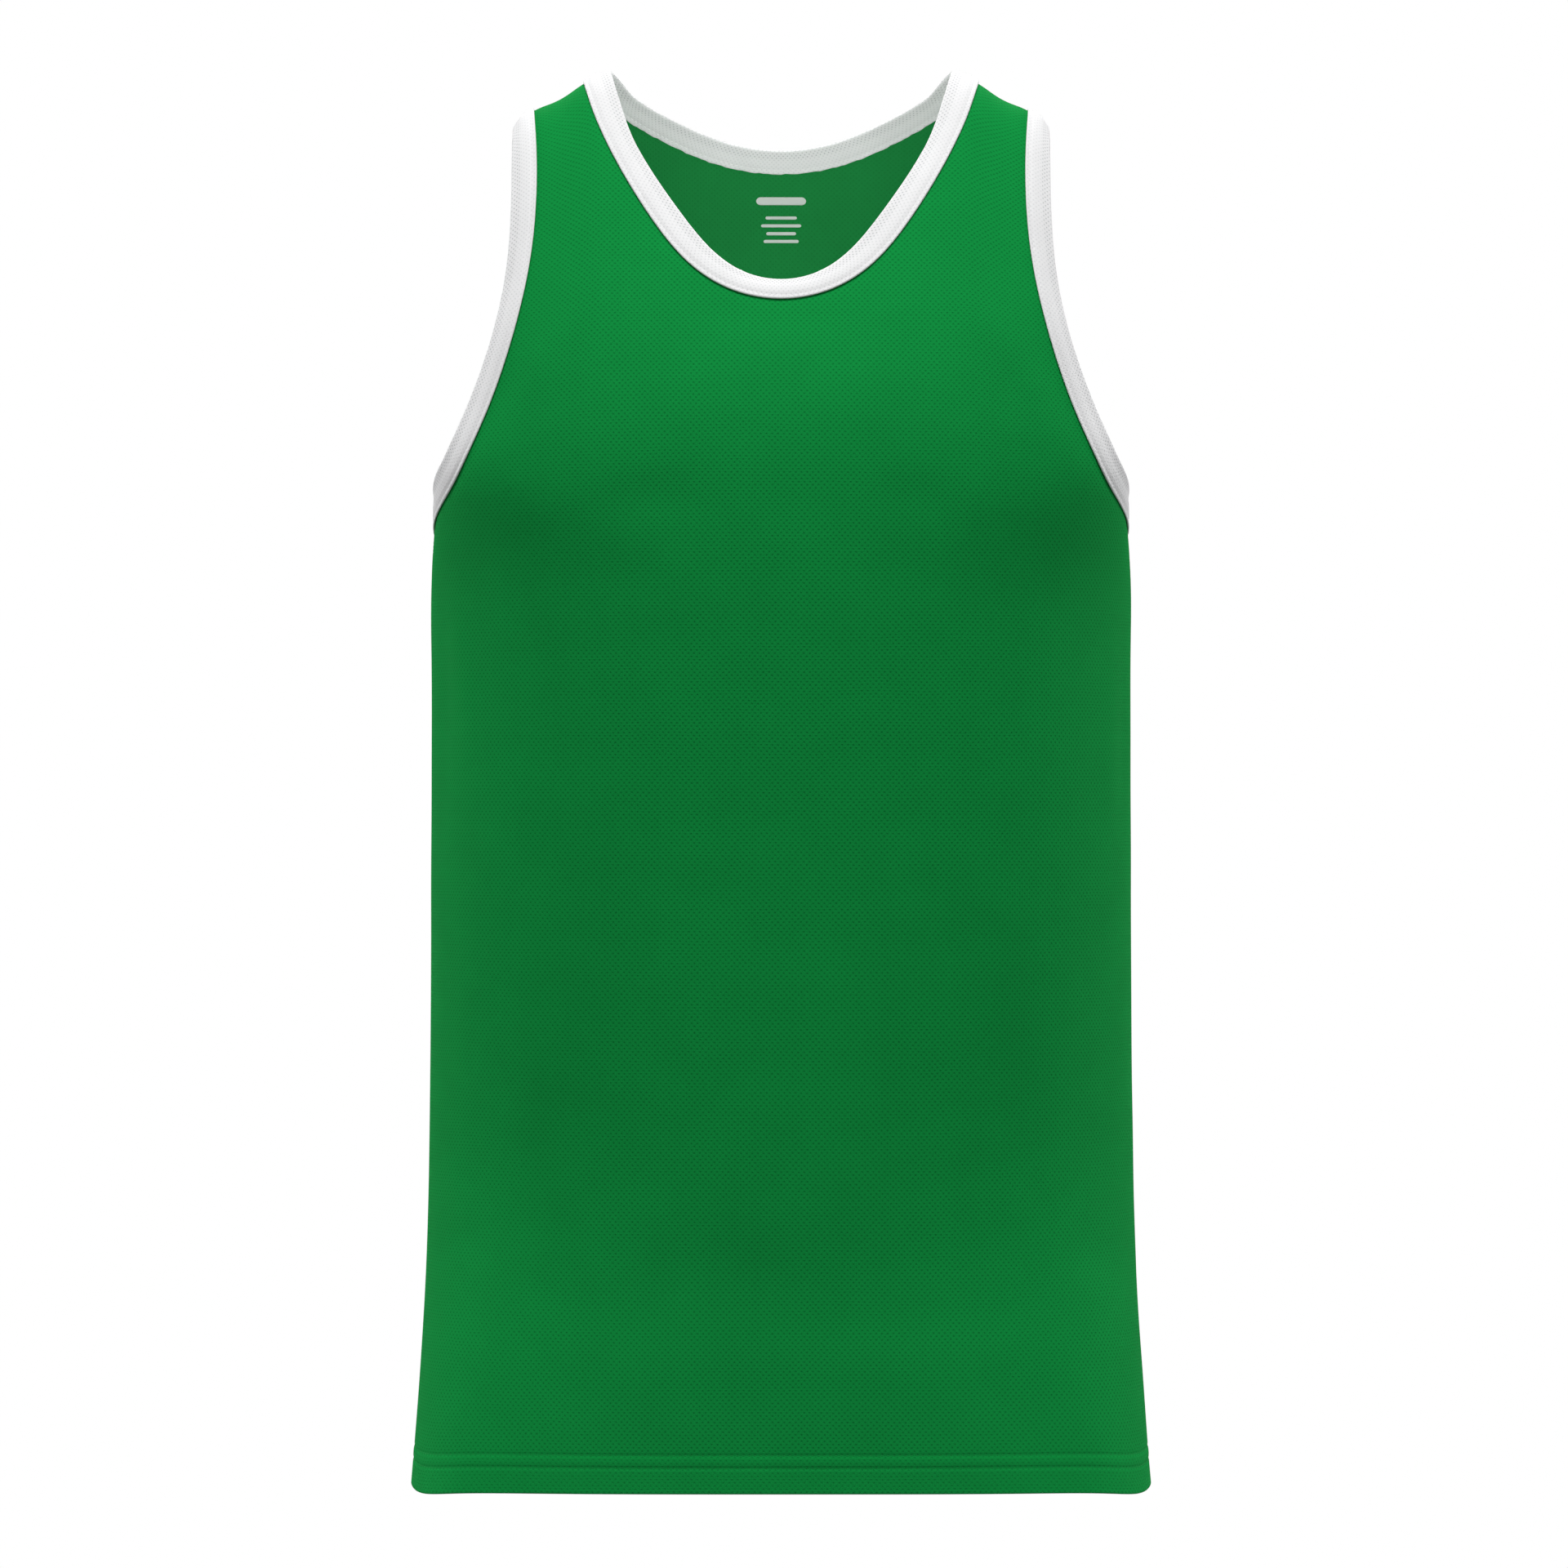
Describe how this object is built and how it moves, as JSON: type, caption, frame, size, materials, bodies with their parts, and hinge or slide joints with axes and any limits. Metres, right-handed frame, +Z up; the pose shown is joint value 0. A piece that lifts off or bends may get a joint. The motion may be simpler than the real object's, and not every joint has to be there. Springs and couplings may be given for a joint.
{
  "type": "basketball jersey",
  "caption": "Sleeveless basketball jersey in mesh knit with a scooped neck and contrast bindings, filled out as when worn with nobody inside.",
  "frame": {"origin": "on the centre line, level with the highest points of the two shoulders, in the plane of the shoulder seams: where the garment is held up", "axes": "+Z up, the front faces -Y, the wearer's left side is +X"},
  "size_m": [0.378, 0.2363, 0.724],
  "materials": {
    "mesh_knit": "matt green mesh knit with staggered rows of small holes",
    "binding_knit": "matt white mesh knit, folded double"
  },
  "bodies": {
    "root": {"front_panel": "mesh_knit", "back_panel": "mesh_knit", "neck_binding": "binding_knit", "left_armhole_binding": "binding_knit", "right_armhole_binding": "binding_knit"}
  },
  "joints": []
}
